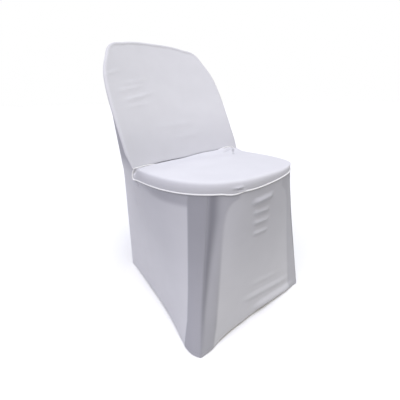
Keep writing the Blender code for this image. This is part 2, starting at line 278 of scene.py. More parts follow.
def pulled_up(points):
    """The seat line with its rear edge drawn up the back on the right."""
    lift = rear_lift(points[:, 0]) * (points[:, 1] > SEAT_SIDE_END)
    return points + np.outer(lift, [0.0, BACK_RISE, 1.0])


def dipped(points):
    """The seat line with the place in front where the seam is pulled down."""
    front = points[:, 1] < SEAT_SIDE_END
    drop = DIP_DEPTH * arch(points[:, 0] - DIP_X, DIP_HALF_LENGTH) ** 2 * front
    return points - np.outer(drop, UP)


def drawn_up(points):
    """The seam, and the cloth below it, drawn up towards the right front corner."""
    x, depth, z = points[..., 0], points[..., 1], points[..., 2]
    share = smooth_step((x - RAISE_FROM) / RAISE_OVER)
    share = share * smooth_step((RAISE_BACK_TO - depth) / RAISE_BACK_OVER)
    follow = smooth_step(1 - (seat_z(depth) - z) / RAISE_BELOW)
    return points + FRONT_RAISE * (share * follow)[..., None] * UP


def seat_loop(ears):
    corner = seat_rear_corner() + (ear() if ears else 0.0)
    half = np.vstack([seat_front_half(), seat_side()[1:], corner[1:], seat_rear_line()[1:]])
    return drawn_up(pulled_up(dipped(np.vstack([half, mirrored(half[::-1])[1:-1]]))))


loop = seat_loop(ears=True)
around = np.linalg.norm(np.roll(loop, -1, axis=0) - loop, axis=1).sum()
print("piping", round(around, 3), "m round the seat")

# %% [markdown]
# ## The rim of the back
#
# The chair's back is a shell with a rounded top, and the cloth rolls over its edge. rim_at gives
# the rolled edge at any turn, from the front face to behind it. The side panel, the inside back and
# the outside back all take their edges from it.

# %% The rolled edge
RIM_SPACING = 1.2  # above 1, the points lie closer near the foot


def rim_half_width(share):
    return BACK_HALF * np.maximum(1 - share**BACK_SIDE_POWER, 0) ** (1 / BACK_TOP_POWER)


def across(outline):
    """Unit vectors that point out of a curve in the plane of the back."""
    along = np.gradient(outline, axis=0)
    return unit(np.column_stack([-along[:, 1], along[:, 0]]))


def rim_outline():
    """The back's outline over the top: x and z, the outward directions, the radius of the roll."""
    side = MERGE_SHARE * np.linspace(0.0, 1.0, SIDE_RIM_COLUMNS + 1) ** RIM_SPACING
    x = np.linspace(-rim_half_width(MERGE_SHARE), 0.0, TOP_COLUMNS // 2 + 1)[1:]
    top = np.maximum(1 - (-x / BACK_HALF) ** BACK_TOP_POWER, 0) ** (1 / BACK_SIDE_POWER)
    half_x = np.concatenate([-rim_half_width(side), x])
    height = np.concatenate([side, top]) * (BACK_TOP_Z - BACK_FOOT_Z)
    drawn = smooth_step(1 - height / FOOT_DRAW_HEIGHT)
    half_x = half_x + FOOT_DRAW * drawn
    half_z = BACK_FOOT_Z + height + PIPING_TUCK * drawn
    half_radius = RIM_RADIUS + (FOOT_RIM_RADIUS - RIM_RADIUS) * drawn
    half = np.column_stack([half_x, half_z, half_radius])
    whole = np.vstack([half, mirrored(half[-2::-1])])
    outline = whole[:, :2]
    for place, height, reach, out in BACK_CORNERS:
        gap = np.hypot(np.abs(whole[:, 0]) - place, whole[:, 1] - height)
        outline = outline + out * arch(gap, reach)[:, None] ** 2 * across(outline)
    return outline, across(outline), whole[:, 2:]


def rim_at(turn):
    outline, away, radius = rim_outline()
    face = outline - radius * away
    shifted = outline - radius * (1 - math.sin(turn)) * away
    depth = back_depth(face[:, 0], face[:, 1]) + radius[:, 0] * (1 - math.cos(turn))
    return np.column_stack([shifted[:, 0], depth, shifted[:, 1]])


TIP_TURNS = [math.pi * (1 - 0.5 * k / TIP_ROWS) for k in range(1, TIP_ROWS + 1)]


def rear_edge():
    """Left rear edge, from the floor to the rim, then round the rim's rear quarter."""
    merge = rim_at(math.pi)[SIDE_RIM_COLUMNS]
    rows = REAR_EDGE + ((merge[2], -merge[0], merge[1]),)
    heights = np.linspace(0.0, merge[2], SKIRT_ROWS - TIP_ROWS + 1)
    offsets = np.linspace(-1.0, 1.0, 5)[:, None] * REAR_EDGE_SOFTNESS
    offsets = offsets * np.minimum(1, np.minimum(heights, merge[2] - heights) / REAR_EDGE_SOFTNESS)
    half, depth = (read_table(rows, heights + offsets, k).mean(axis=0) for k in (1, 2))
    tip = [rim_at(turn)[SIDE_RIM_COLUMNS] for turn in TIP_TURNS]
    return np.vstack([np.column_stack([-half, depth, heights]), tip])


print("back", round(2 * BACK_HALF, 3), "m wide,", round(BACK_TOP_Z, 3), "m high")

# %% [markdown]
# ## The hem
#
# The hem runs from foot to foot. At a front foot the cloth stands out over the foot's side edge,
# and between the feet nothing holds it, so the elastic cloth pulls in and up a little. In front it
# also waves, as the table says.

# %% The line of the hem
def side_hem(depths):
    run = depths / FOOT_FLARE_DEPTH
    share = depths / REAR_FOOT_DEPTH
    half = FRONT_FOOT_HALF + (REAR_FOOT_HALF - FRONT_FOOT_HALF) * share
    half = half + FOOT_FLARE * run * np.exp(1 - run) * (1 - share)
    return np.column_stack([-half, depths, SIDE_HEM_LIFT * np.sin(math.pi * share)])


# x, reach, how far forward, how far up
FRONT_HEM_WAVES = (
    (-0.188, 0.034, 0.0028, 0.0),
    (-0.110, 0.060, -0.0010, 0.0032),
    (0.040, 0.060, 0.0, 0.0030),
)


def front_hem():
    x = np.linspace(-FRONT_FOOT_HALF, FRONT_FOOT_HALF, FRONT_COLUMNS + 1)
    free = arch(x, FRONT_FOOT_HALF)
    hem = np.column_stack([x, FRONT_HEM_DRAW * free, FRONT_HEM_LIFT * free])
    for place, reach, forward, up in FRONT_HEM_WAVES:
        hem += np.outer(arch(x - place, reach) ** 2, [0.0, -forward, up])
    return hem


def rear_hem():
    x = np.linspace(-REAR_FOOT_HALF, REAR_FOOT_HALF, TOP_COLUMNS + 1)
    lift = REAR_HEM_LIFT * arch(x, REAR_FOOT_HALF)
    return np.column_stack([x, np.full(len(x), REAR_FOOT_DEPTH), lift])


# %% [markdown]
# ## The panels as grids
#
# Stretched cloth between four seams is very nearly the surface that blends its four edges, so each
# panel is made that way. Cloth simulation could do it too, but a cover that is pulled tight has
# almost no slack to simulate, and the edges would have to be held anyway.

# %% Grids of the five large panels
DOWN = -PIPING_TUCK * UP


def corner_seam():
    return line((-FRONT_FOOT_HALF, 0.0, 0.0), seat_front_half()[-1] + DOWN, SKIRT_ROWS)


def front_grid():
    half = seat_front_half()
    top = dipped(np.vstack([half[::-1], mirrored(half[1:])])) + DOWN
    return coons(front_hem(), top, corner_seam(), mirrored(corner_seam()))


def beside_rear_corner():
    """The side panel's edge turns from below the climbing piping to outside it."""
    climb = seat_rear_corner()
    along = unit(np.gradient(climb, axis=0))
    share = np.linspace(0.0, 1.0, len(climb))[:, None]
    off = -(1 - share) * UP - share * np.array([1.0, 0.0, 0.0])
    off = unit(off - (off * along).sum(axis=1)[:, None] * along)
    return (climb + PIPING_TUCK * off)[1:-1]


def side_grid():
    rim = rim_at(math.pi / 2)[: SIDE_RIM_COLUMNS + 1]
    top = np.vstack([seat_side() + DOWN, beside_rear_corner(), rim])
    reach = (top[:, 1] - top[0, 1]) / (top[-1, 1] - top[0, 1])
    hem = side_hem(REAR_FOOT_DEPTH * reach)
    hem[-1] = rear_edge()[0]
    grid = coons(hem, top, corner_seam(), rear_edge())
    below = np.linalg.norm(grid - grid[:, -1:], axis=2)
    first = len(seat_side())
    columns = slice(first, first + REAR_CORNER_STEPS - 1)
    grid[columns] += ear()[1:-1, None] * smooth_step(1 - below[columns] / EAR_REACH)[:, :, None]
    return grid


def inside_back_grids():
    """The front face between its foot and the rim, then the roll, which runs round three sides."""
    face_rim = rim_at(0.0)
    left = face_rim[: SIDE_RIM_COLUMNS + 1]
    top = face_rim[SIDE_RIM_COLUMNS : SIDE_RIM_COLUMNS + TOP_COLUMNS + 1]
    right = face_rim[SIDE_RIM_COLUMNS + TOP_COLUMNS :][::-1]
    face = coons(line(left[0], right[0], TOP_COLUMNS), top, left, right)
    face[:, :, 1] = back_depth(face[:, :, 0], face[:, :, 2])
    roll = np.stack([rim_at(math.pi / 2 * k / ROLL_ROWS) for k in range(ROLL_ROWS + 1)], axis=1)
    return [face, roll]


def outside_back_grid():
    edge = rear_edge()[: SKIRT_ROWS - TIP_ROWS + 1]
    span = slice(SIDE_RIM_COLUMNS, SIDE_RIM_COLUMNS + TOP_COLUMNS + 1)
    face = coons(rear_hem(), rim_at(math.pi)[span], edge, mirrored(edge))
    roll = [rim_at(turn)[span] for turn in TIP_TURNS]
    return np.concatenate([face, np.stack(roll, axis=1)], axis=1)


# %% [markdown]
# A seam is a groove only a few millimetres wide, narrower than the grid's steps. Extra lines of
# points just inside the edges let the groove show without making the whole panel finer.

# %% Extra lines beside the edges
EDGE_LINES = (0.0012, 0.0026, 0.0045)  # metres inside a seam


def with_lines(grid, axis):
    """The grid with interpolated lines beside its first and last ones along this axis."""
    grid = np.moveaxis(grid, axis, 0)
    count = len(grid) - 1
    steps = np.linalg.norm(np.diff(grid, axis=0), axis=-1).mean(axis=1)
    places = np.arange(count + 1.0)
    from_first = np.interp(EDGE_LINES, np.concatenate([[0], np.cumsum(steps)]), places)
    from_last = np.interp(EDGE_LINES, np.concatenate([[0], np.cumsum(steps[::-1])]), places)
    places = np.unique(np.round(np.concatenate([places, from_first, count - from_last]), 3))
    low = np.minimum(places.astype(int), count - 1)
    rest = (places - low)[:, None, None]
    return np.moveaxis((1 - rest) * grid[low] + rest * grid[low + 1], 0, axis)


def edged(grid):
    return with_lines(with_lines(grid, 0), 1)


panel_grids = {
    "front_skirt": [edged(drawn_up(front_grid()))],
    "left_side": [edged(side_grid())],
    "right_side": [edged(drawn_up(mirrored(side_grid())))],
    "inside_back": inside_back_grids(),
    "outside_back": [with_lines(outside_back_grid(), 0)],
}
print({name: [grid.shape[:2] for grid in grids] for name, grids in panel_grids.items()})

# %% [markdown]
# ## The seat's cap
#
# The cap is a flat piece drawn down over the seat's edge and sewn to the piping. Its rings start at
# the piping, climb the edge along a rounded profile and run in towards the middle. At the rear the
# edge is hardly there, because the cloth meets the foot of the back, so each ring's reach shrinks
# with its height. The top's height depends only on the place: if it followed the rings, their
# corners would show as creases.

# %% The level of the cap
CORNER_FADE = 0.030  # metres in from the edge over which the cap finds its level
LIFT_FADE = 0.065


def lift_on_cap(points):
    from_back = back_depth(points[:, 0], BACK_FOOT_Z) - points[:, 1]
    return rear_lift(points[:, 0]) * smooth_step(1 - from_back / LIFT_FADE)


def crown(points):
    """How far the seat's middle bulges above its edges."""
    middle = (SEAT_FRONT_DEPTH + BACK_FOOT_DEPTH) / 2
    from_ends = arch(points[:, 1] - middle, middle - SEAT_FRONT_DEPTH)
    return CAP_CROWN * arch(points[:, 0], SEAT_HALF) * from_ends


def cap_level(points):
    return cap_top(points[:, 1]) + crown(points) + lift_on_cap(points)


print("seat", np.round(cap_level(np.array([[0.0, 0.19, 0.0]]))[0], 4), "m high in its middle")


# %% Rings of the cap
PROFILE_STEPS = 2 * DETAIL
TOP_RINGS = 5 * DETAIL
TURN_OVER = 0.013
SINK_FROM = 0.312  # from this depth on the cap sinks towards its left rear corner
SINK_OVER = 0.024
SUNK_SHARE = 0.55
TIGHT_FROM = 0.262  # towards the rear corners its edge is drawn tighter
TIGHT_OVER = 0.050
# At the right front corner its edge stands up square: x, depth, reach, share of the inset lost
SQUARE_CORNER = (0.138, 0.048, 0.050, 1.15)


def along_closed(points):
    ahead = unit(np.roll(points, -1, axis=0) - points)
    return unit(ahead + np.roll(ahead, 1, axis=0))


def averaged(values, points):
    """Values averaged along the line, so that rings don't cross themselves inside its corners."""
    gaps = np.linalg.norm(points[:, None] - points[None], axis=2)
    steps = np.linalg.norm(np.roll(points, -1, axis=0) - np.roll(points, 1, axis=0), axis=1)
    weights = np.exp(-((gaps / TURN_OVER) ** 2)) * steps
    return weights @ values / weights.sum(axis=1)[:, None]


def cap_rings():
    middle = np.array([0.0, loop[:, 1].mean(), 0.0])
    along = along_closed(loop)
    plain = along_closed(seat_loop(ears=False))
    inward = unit(np.column_stack([plain[:, 1], -plain[:, 0], 0 * plain[:, 0]]))
    inward *= np.sign((inward * (middle - loop)).sum(axis=1))[:, None]
    inward = unit(averaged(inward, loop))
    sunk = SUNK_SHARE * smooth_step((loop[:, 1] - SINK_FROM) / SINK_OVER) * (loop[:, 0] < 0)
    height = (cap_top(loop[:, 1]) - loop[:, 2]) * (1 - sunk)
    height = np.maximum(height, CAP_REAR_HEIGHT)[:, None]
    upright = np.clip((height - CAP_REAR_HEIGHT) / (CAP_FRONT_HEIGHT - CAP_REAR_HEIGHT), 0, 1)
    off = upright * UP + (1 - upright) * inward
    off = unit(off - (off * along).sum(axis=1)[:, None] * along)
    start = loop + PIPING_TUCK * off
    rise = height - PIPING_TUCK * upright
    tight = smooth_step((loop[:, 1] - TIGHT_FROM) / TIGHT_OVER)[:, None]
    reach = CAP_EDGE_RADIUS * (CAP_REAR_INSET + (1 - CAP_REAR_INSET) * upright * (1 - tight))
    x, depth, across, share = SQUARE_CORNER
    square = np.exp(-((loop[:, 0] - x) ** 2 + (loop[:, 1] - depth) ** 2) / across**2)
    reach = reach * (1 - share * square)[:, None]
    rings = []
    for turn in np.linspace(0.0, math.pi / 2, PROFILE_STEPS + 1):
        inset = 1 - math.cos(turn) ** (2 / CAP_EDGE_POWER)
        lift = math.sin(turn) ** (2 / CAP_EDGE_POWER)
        rings.append(start + reach * inset * inward + rise * lift * UP)
    rim = averaged(rings[-1], loop)
    settled = (rim - rings[-1]) * (1 - UP)
    rings = [ring + settled * k / PROFILE_STEPS for k, ring in enumerate(rings)]
    rim = rings[-1]
    centre = middle + cap_level(middle[None])[0] * UP
    excess = rim[:, 2] - cap_level(rim)
    fade = CORNER_FADE / np.linalg.norm((centre - rim)[:, :2], axis=1)
    for share in np.linspace(0.0, 1.0, TOP_RINGS + 1)[1:-1]:
        ring = rim + share * (centre - rim)
        ring[:, 2] = cap_level(ring) + excess * smooth_step(1 - share / fade)
        rings.append(ring)
    return rings, centre


rings, seat_middle = cap_rings()
print("cap", len(rings), "rings of", len(loop), "points")


# %% [markdown]
# ## Open surfaces
#
# Each grid becomes a bmesh of quads. Where one piece has two grids, their shared edge is merged, so
# that the shading runs across it.

# %% From grids to surfaces
WELD = 1e-5


def surface(grids, toward):
    """An open surface of these grids that faces the side toward."""
    bm = bmesh.new()
    for grid in grids:
        columns = [[bm.verts.new(point) for point in column] for column in placed(grid)]
        for left, right in zip(columns, columns[1:]):
            for k in range(len(left) - 1):
                bm.faces.new([left[k], right[k], right[k + 1], left[k + 1]])
    bmesh.ops.remove_doubles(bm, verts=bm.verts, dist=WELD)
    return facing(bm, toward)


def facing(bm, toward):
    bm.normal_update()
    if sum(face.normal.dot(toward) * face.calc_area() for face in bm.faces) < 0:
        bmesh.ops.reverse_faces(bm, faces=bm.faces)
    bm.normal_update()
    bm.verts.index_update()
    return bm


def cap_surface():
    bm = bmesh.new()
    rows = [[bm.verts.new(point) for point in placed(ring)] for ring in rings]
    hub = bm.verts.new(placed(seat_middle))
    for low, high in zip(rows, rows[1:]):
        for k in range(len(low)):
            bm.faces.new([low[k - 1], low[k], high[k], high[k - 1]])
    for k in range(len(rows[-1])):
        bm.faces.new([rows[-1][k - 1], rows[-1][k], hub])
    return facing(bm, Vector((0, 0, 1)))


OUT = {
    "front_skirt": (0, -1, 0), "left_side": (-1, 0, 0), "right_side": (1, 0, 0),
    "inside_back": (0, -1, 0), "outside_back": (0, 1, 0),
}
surfaces = {name: surface(panel_grids[name], Vector(out)) for name, out in OUT.items()}
surfaces["seat_cap"] = cap_surface()
print({name: len(bm.faces) for name, bm in surfaces.items()})

# %% [markdown]
# ## One direction at each seam
#
# Creases push the cloth in or out along its normal. Two panels that meet at an edge have different
# normals there, and would part. So each edge point takes the mean of its own normal and those of
# the panels sewn to it, made a little longer so that the cloth keeps its thickness at the corner.

# %% Shared directions
SEWN_WITHIN = 0.0025
LEAST_MITRE = 0.55
SEWN = tuple(OUT)


def search_tree(points):
    """Finds the nearest of these points quickly."""
    tree = kdtree.KDTree(len(points))
    for k, point in enumerate(points):
        tree.insert(point, k)
    tree.balance()
    return tree


edge_points = {}
for name in SEWN:
    edges = [vert for vert in surfaces[name].verts if vert.is_boundary]
    tree = search_tree([vert.co for vert in edges])
    edge_points[name] = (tree, [vert.normal.copy() for vert in edges])


def directions_of(name, bm):
    found = np.array([vert.normal for vert in bm.verts])
    if name not in SEWN:
        return found
    for vert in bm.verts:
        if not vert.is_boundary:
            continue
        normals = [vert.normal.copy()]
        for other, (tree, others) in edge_points.items():
            if other != name:
                _, k, gap = tree.find(vert.co)
                if gap < SEWN_WITHIN:
                    normals.append(others[k])
        mean = sum(normals[1:], normals[0].copy()).normalized()
        found[vert.index] = mean / max(min(mean.dot(normal) for normal in normals), LEAST_MITRE)
    return found


directions = {name: directions_of(name, bm) for name, bm in surfaces.items()}
longest = max(np.linalg.norm(found, axis=1).max() for found in directions.values())
print("longest mitre", round(longest, 2))

# %% [markdown]
# ## Seams as grooves
#
# A sewn seam pulls the cloth in along a line, and the cloth stands up a little on each side of it
# where its allowances lie underneath. The distance from every point to the nearest seam gives both.

# %% Distance to the seams
SEAM_DIP = 0.0009
SEAM_WIDTH = 0.0016
SEAM_PUFF = 0.0003
PUFF_PLACE = 0.0055
PUFF_WIDTH = 0.0030


def finely(points, step=0.0015):
    gaps = np.linalg.norm(np.diff(points, axis=0), axis=1)
    places = np.concatenate([[0], np.cumsum(gaps)])
    wanted = np.linspace(0.0, places[-1], int(places[-1] / step) + 2)
    return np.column_stack([np.interp(wanted, places, points[:, k]) for k in range(3)])


left_seams = [corner_seam(), rear_edge()]
seam_lines = [finely(seam) for seam in left_seams + [mirrored(seam) for seam in left_seams]]
seam_lines.append(finely(rim_at(math.pi / 2)))
seam_points = placed(drawn_up(np.vstack(seam_lines)))
seam_tree = search_tree(seam_points)
seat_tree = search_tree(placed(finely(loop)))


def gaps_to(tree, points):
    return np.array([tree.find(place)[2] for place in placed(points)])


def seam_relief(points):
    gap = gaps_to(seam_tree, points)
    dip = SEAM_DIP * np.exp(-((gap / SEAM_WIDTH) ** 2))
    puff = SEAM_PUFF * np.exp(-(((gap - PUFF_PLACE) / PUFF_WIDTH) ** 2))
    return puff - dip


print("seams", len(seam_points), "points")

# %% [markdown]
# ## Creases
#
# Where the cloth is pulled sideways it lies in short parallel folds. Each is a soft ridge or trough
# between two points, with its own width and height. A table with one row for each fold is easy to
# correct while comparing with the real thing. A few creases are too tight for light to reach their
# bottom, so they get a shade in the material too.

# %% Ridges and troughs
# x, depth, z of both ends, half width, height: above 0 a ridge, below 0 a trough
FRONT_FOLDS = (
    (-0.060, 0.013, 0.400, 0.030, 0.012, 0.408, 0.011, 0.0058),
    (-0.052, 0.013, 0.3722, 0.018, 0.011, 0.3705, 0.010, 0.0042),
    (-0.052, 0.012, 0.3442, 0.020, 0.011, 0.340, 0.0105, 0.0038),
    (-0.050, 0.011, 0.3122, 0.020, 0.010, 0.308, 0.010, 0.0034),
    (-0.090, 0.007, 0.098, 0.185, 0.006, 0.054, 0.018, 0.003),
    (-0.040, 0.006, 0.030, 0.218, 0.003, 0.006, 0.025, 0.0068),
    (-0.060, 0.008, 0.140, 0.120, 0.007, 0.112, 0.015, 0.0012),
)
BACK_FOLDS = (
    (-0.222, 0.484, 0.699, -0.150, 0.509, 0.726, 0.008, 0.0008),
    (-0.186, 0.481, 0.675, -0.058, 0.509, 0.702, 0.0095, 0.0007),
    (-0.202, 0.466, 0.653, -0.085, 0.494, 0.681, 0.0095, 0.0009),
    (-0.194, 0.453, 0.624, -0.044, 0.487, 0.663, 0.010, 0.0014),
    (-0.188, 0.443, 0.606, -0.066, 0.467, 0.630, 0.0095, 0.0007),
    (-0.120, 0.420, 0.545, 0.100, 0.440, 0.555, 0.018, 0.0007),
    (-0.060, 0.400, 0.505, 0.150, 0.420, 0.518, 0.016, 0.0006),
)
CAP_FOLDS = (
    (-0.116, 0.028, 0.446, -0.076, 0.020, 0.4475, 0.005, 0.0024),
    (-0.118, 0.028, 0.4415, -0.080, 0.019, 0.443, 0.0042, -0.0022),
    (-0.112, 0.024, 0.4375, -0.070, 0.018, 0.439, 0.0045, 0.002),
    (0.130, 0.334, 0.453, 0.190, 0.348, 0.4578, 0.008, 0.003),
    (0.120, 0.318, 0.4508, 0.188, 0.334, 0.4565, 0.008, -0.0026),
    (0.190, 0.334, 0.4565, 0.128, 0.264, 0.4522, 0.008, -0.0024),
    (-0.220, 0.326, 0.420, -0.206, 0.336, 0.440, 0.004, -0.0022),
)
# x, depth, z of both ends, half width, strength: creases so tight that they hold a shadow, painted
# into the colour
TIGHT_CREASES = (
    (-0.118, 0.028, 0.441, -0.080, 0.019, 0.4428, 0.0026, 0.45),
    (0.192, 0.336, 0.4566, 0.120, 0.260, 0.4526, 0.0075, 0.80),
    (0.120, 0.318, 0.4508, 0.188, 0.334, 0.4565, 0.0055, 0.35),
)
FOLD_TAPER = 0.3


def fold_relief(points, folds):
    total = np.zeros(len(points))
    for fold in folds:
        start, end = np.array(fold[:3]), np.array(fold[3:6])
        half_width, height = fold[6:]
        axis = end - start
        along = np.clip((points - start) @ axis / (axis @ axis), 0, 1)
        gap = np.linalg.norm(points - start - along[:, None] * axis, axis=1)
        ends = smooth_step(along / FOLD_TAPER) * smooth_step((1 - along) / FOLD_TAPER)
        total += height * ends * arch(gap, half_width) ** 2
    return total


FOLDS = {"front_skirt": FRONT_FOLDS, "inside_back": BACK_FOLDS, "seat_cap": CAP_FOLDS}
print("folds", {name: len(folds) for name, folds in FOLDS.items()})

# %% [markdown]
# ## Where the cloth lies on the chair, and the shade painted there
#
# The chair's legs are wide, flat flanges, joined below the seat by a shallow apron. Over them the
# cloth is drawn thin on something solid. Between them it spans open air. The border shows as a soft
# line: the free cloth lies a little deeper, and thin white cloth looks darker on the chair than
# with light behind it, a shade that is painted into the colour here. The share of chair behind each
# point sets both the relief and that painted shade, and counts the seat's frame, which keeps light
# out too; it also paints shade on the seat's boxing and rear and low on the back. A second share
# paints the darkest shade: along the legs' corners, a shadow line below the bead and the tight
# creases.

# %% Legs and apron behind the cloth
# height, depth of the flange's inner border on the side
SIDE_FLANGE = (
    (0.000, 0.055), (0.093, 0.0548), (0.184, 0.0648), (0.266, 0.0764), (0.344, 0.0879),
    (0.380, 0.0942), (0.410, 0.0990),
)
# height, half width of the flange's inner border, left and right in front
LEFT_FLANGE = (
    (0.000, 0.1807), (0.074, 0.1654), (0.217, 0.148), (0.311, 0.137), (0.361, 0.1295),
    (0.386, 0.1237), (0.402, 0.1163), (0.413, 0.1069), (0.422, 0.0903),
)
RIGHT_FLANGE = (
    (0.000, 0.174), (0.023, 0.169), (0.115, 0.153), (0.224, 0.131), (0.320, 0.113),
    (0.372, 0.101), (0.401, 0.085), (0.420, 0.060),
)
# depth, height of the apron's lower border on the side
SIDE_APRON = ((0.100, 0.4000), (0.138, 0.3967), (0.187, 0.3923), (0.239, 0.3916), (0.300, 0.3950))
FLANGE_BLUR = 0.0030
APRON_BLUR = 0.0075
FRONT_BLUR = 0.006

# How much chair lies behind, for the relief and the painted shade: in front it lies less close to
# the cloth
LEFT_SHARE = 0.80
RIGHT_SHARE = 0.50
GUSSET_SHARE = 1.00  # painted shade beside the back, where its edge lies
# painted shade only: low on the back, on the seat's boxing and towards the seat's rear
BACK_FOOT_SHADE = 0.35
BOXING_SHADE = 0.40
CAP_REAR_SHADE = 0.26
FRAME_SHARE = 0.48  # painted shade below the seat, where its frame keeps light from coming through the cloth


def soft_over(distance, blur):
    return smooth_step(0.5 + distance / (2 * blur))


def ramp(values, start, end):
    """0 before start, 1 after end, and smooth between them."""
    return smooth_step((values - start) / (end - start))


border = read_table(LEFT_FLANGE, 0.2)
print("left front leg's inner border at 0.2 m:", round(border, 3), "m from the middle")

# %% The share of chair behind each point
UNDER_SEAT_Z = (0.08, 0.44)
UNDER_SEAT_DEPTH = (0.46, 0.26)
APRON_DEPTH = (0.36, 0.16)
SIDE_TOP_Z = 0.45
GUSSET_Z = (0.42, 0.48)
GUSSET_END_Z = (0.74, 0.58)
BACK_FOOT_ZONE = (0.62, 0.46)
BOXING_DROP = 0.007
CAP_REAR_ZONE = (0.20, 0.34)


def chair_backing_and_shade(name, points):
    """0 where the cloth spans open air, up to 1 where it lies close on the chair, for relief and
    painted shade.
    """
    x, depth, z = points.T
    under_seat = FRAME_SHARE * ramp(z, *UNDER_SEAT_Z)
    if name == "front_skirt":
        left = LEFT_SHARE * soft_over(-x - read_table(LEFT_FLANGE, z), FRONT_BLUR)
        right = RIGHT_SHARE * soft_over(x - read_table(RIGHT_FLANGE, z), FRONT_BLUR)
        return 1 - (1 - left) * (1 - right) * (1 - under_seat)
    if name in ("left_side", "right_side"):
        leg = soft_over(read_table(SIDE_FLANGE, z) - depth, FLANGE_BLUR)
        below_seat = soft_over(SIDE_TOP_Z - z, FLANGE_BLUR)
        apron = soft_over(z - read_table(SIDE_APRON, depth), APRON_BLUR)
        apron = apron * ramp(depth, *APRON_DEPTH) * below_seat
        gusset = GUSSET_SHARE * ramp(z, *GUSSET_Z) * ramp(z, *GUSSET_END_Z)
        under_seat = under_seat * ramp(depth, *UNDER_SEAT_DEPTH) * below_seat
        return 1 - (1 - leg) * (1 - apron) * (1 - gusset) * (1 - under_seat)
    if name == "inside_back":
        # painted shade low on the back, near its foot
        return BACK_FOOT_SHADE * ramp(z, *BACK_FOOT_ZONE)
    if name == "seat_cap":
        # painted shade on the cap's boxing and towards its rear
        boxing_shade = BOXING_SHADE * smooth_step((cap_top(depth) - z) / BOXING_DROP)
        return np.maximum(boxing_shade, CAP_REAR_SHADE * ramp(depth, *CAP_REAR_ZONE))
    return np.zeros(len(points))


print("backing of the seat's rear", chair_backing_and_shade("seat_cap", np.array([[0.0, 0.34, 0.45]])))

# %% The darkest lines, painted as shade
# height, distance of the painted shade's darkest line from the corner seam, its half width, its
# strength
CORNER_SHADE_BAND = (
    (0.00, 0.000, 0.005, 0.15), (0.15, 0.001, 0.006, 0.75),
    (0.27, 0.005, 0.010, 0.95), (0.38, 0.011, 0.016, 1.00),
)
BEAD_SHADOW_WIDTH = 0.0035  # a fine painted shadow below the bead
FOOT_SHADOW = 0.8  # the same painted shadow, along the foot of the back
LEG_SIDE_SHADE = 0.5  # high up, the side of the leg gets nearly as much painted shade
LEG_Z = (0.10, 0.40)


def painted_shade_lines(name, points):
    """Painted shade: along a leg's corner, a broad band high up, a shadow line below the bead, tight
    creases.
    """
    if name == "seat_cap":
        return fold_relief(points, TIGHT_CREASES)
    if name == "outside_back":
        return np.zeros(len(points))
    # a painted shadow line below the bead
    under = np.exp(-((gaps_to(seat_tree, points) / BEAD_SHADOW_WIDTH) ** 2))
    if name == "inside_back":
        return FOOT_SHADOW * under
    seam = corner_seam()
    x, depth, z = np.abs(points[:, 0]), points[:, 1], points[:, 2]
    seam_x = np.interp(z, seam[:, 2], -seam[:, 0])
    seam_depth = np.interp(z, seam[:, 2], seam[:, 1])
    gap = np.hypot(x - seam_x, depth - seam_depth) * (1 if name == "front_skirt" else -1)
    place, width, strength = (read_table(CORNER_SHADE_BAND, z, k) for k in (1, 2, 3))
    shade_band = strength * np.exp(-(((gap - place) / width) ** 2))
    if name != "front_skirt":
        leg = soft_over(read_table(SIDE_FLANGE, z) - depth, FLANGE_BLUR)
        shade_band = np.maximum(shade_band, LEG_SIDE_SHADE * leg * ramp(z, *LEG_Z))
    return np.maximum(shade_band, under)


print("corner band", len(CORNER_SHADE_BAND), "rows,", len(TIGHT_CREASES), "tight creases")


# %% [markdown]
# ## Closed sheets
#
# A sheet has two sides and an edge. The outer side is the surface with its relief, the inner one
# lies a cloth's thickness deeper, and the two are joined round the border. Along the hem the edge
# is rounded, because the cloth is folded there. Each point also keeps its place on the flat cut, as
# a UV map in metres, for the knit and the hem's stitches.

# %% Places on the flat cut
BACK_CUT_AT = 1.0  # the back's and the cap's cuts lie above the skirt's, clear of the stitches
CAP_CUT_AT = 2.0


def flat_places(name, points):
    """Where each point lies on the flat cut, in metres: across, and up from the hem."""
    x, depth, z = points.T
    if name == "front_skirt":
        return np.column_stack([x, z - FRONT_HEM_LIFT * arch(x, FRONT_FOOT_HALF)])
    if name == "outside_back":
        return np.column_stack([-x, z - REAR_HEM_LIFT * arch(x, REAR_FOOT_HALF)])
    if name in ("left_side", "right_side"):
        lift = SIDE_HEM_LIFT * np.sin(math.pi * np.clip(depth / REAR_FOOT_DEPTH, 0, 1))
        return np.column_stack([depth, z - lift])
    if name == "inside_back":
        return np.column_stack([x, BACK_CUT_AT + z * math.hypot(1.0, BACK_RISE)])
    below = np.clip(cap_top(depth) - z, 0, CAP_HEIGHT)
    away = unit(np.column_stack([x, depth - seat_middle[1]]) + 1e-9)
    return np.column_stack([x, CAP_CUT_AT + depth]) + below[:, None] * away


print("a point of the hem on its cut", flat_places("front_skirt", np.zeros((1, 3)))[0])

# %% Sheets with thickness
HEM_BELOW = 0.015
SPAN_DEPTH = 0.0014
SPAN_FADE = 0.03


def free_span(name, points):
    """0 at the panel's edges, which are sewn down, and 1 away from them."""
    if name not in ("front_skirt", "left_side", "right_side"):
        return np.zeros(len(points))
    below_seat = smooth_step((SEAT_FRONT_Z - points[:, 2]) / SPAN_FADE)
    return smooth_step(gaps_to(seam_tree, points) / SPAN_FADE) * below_seat


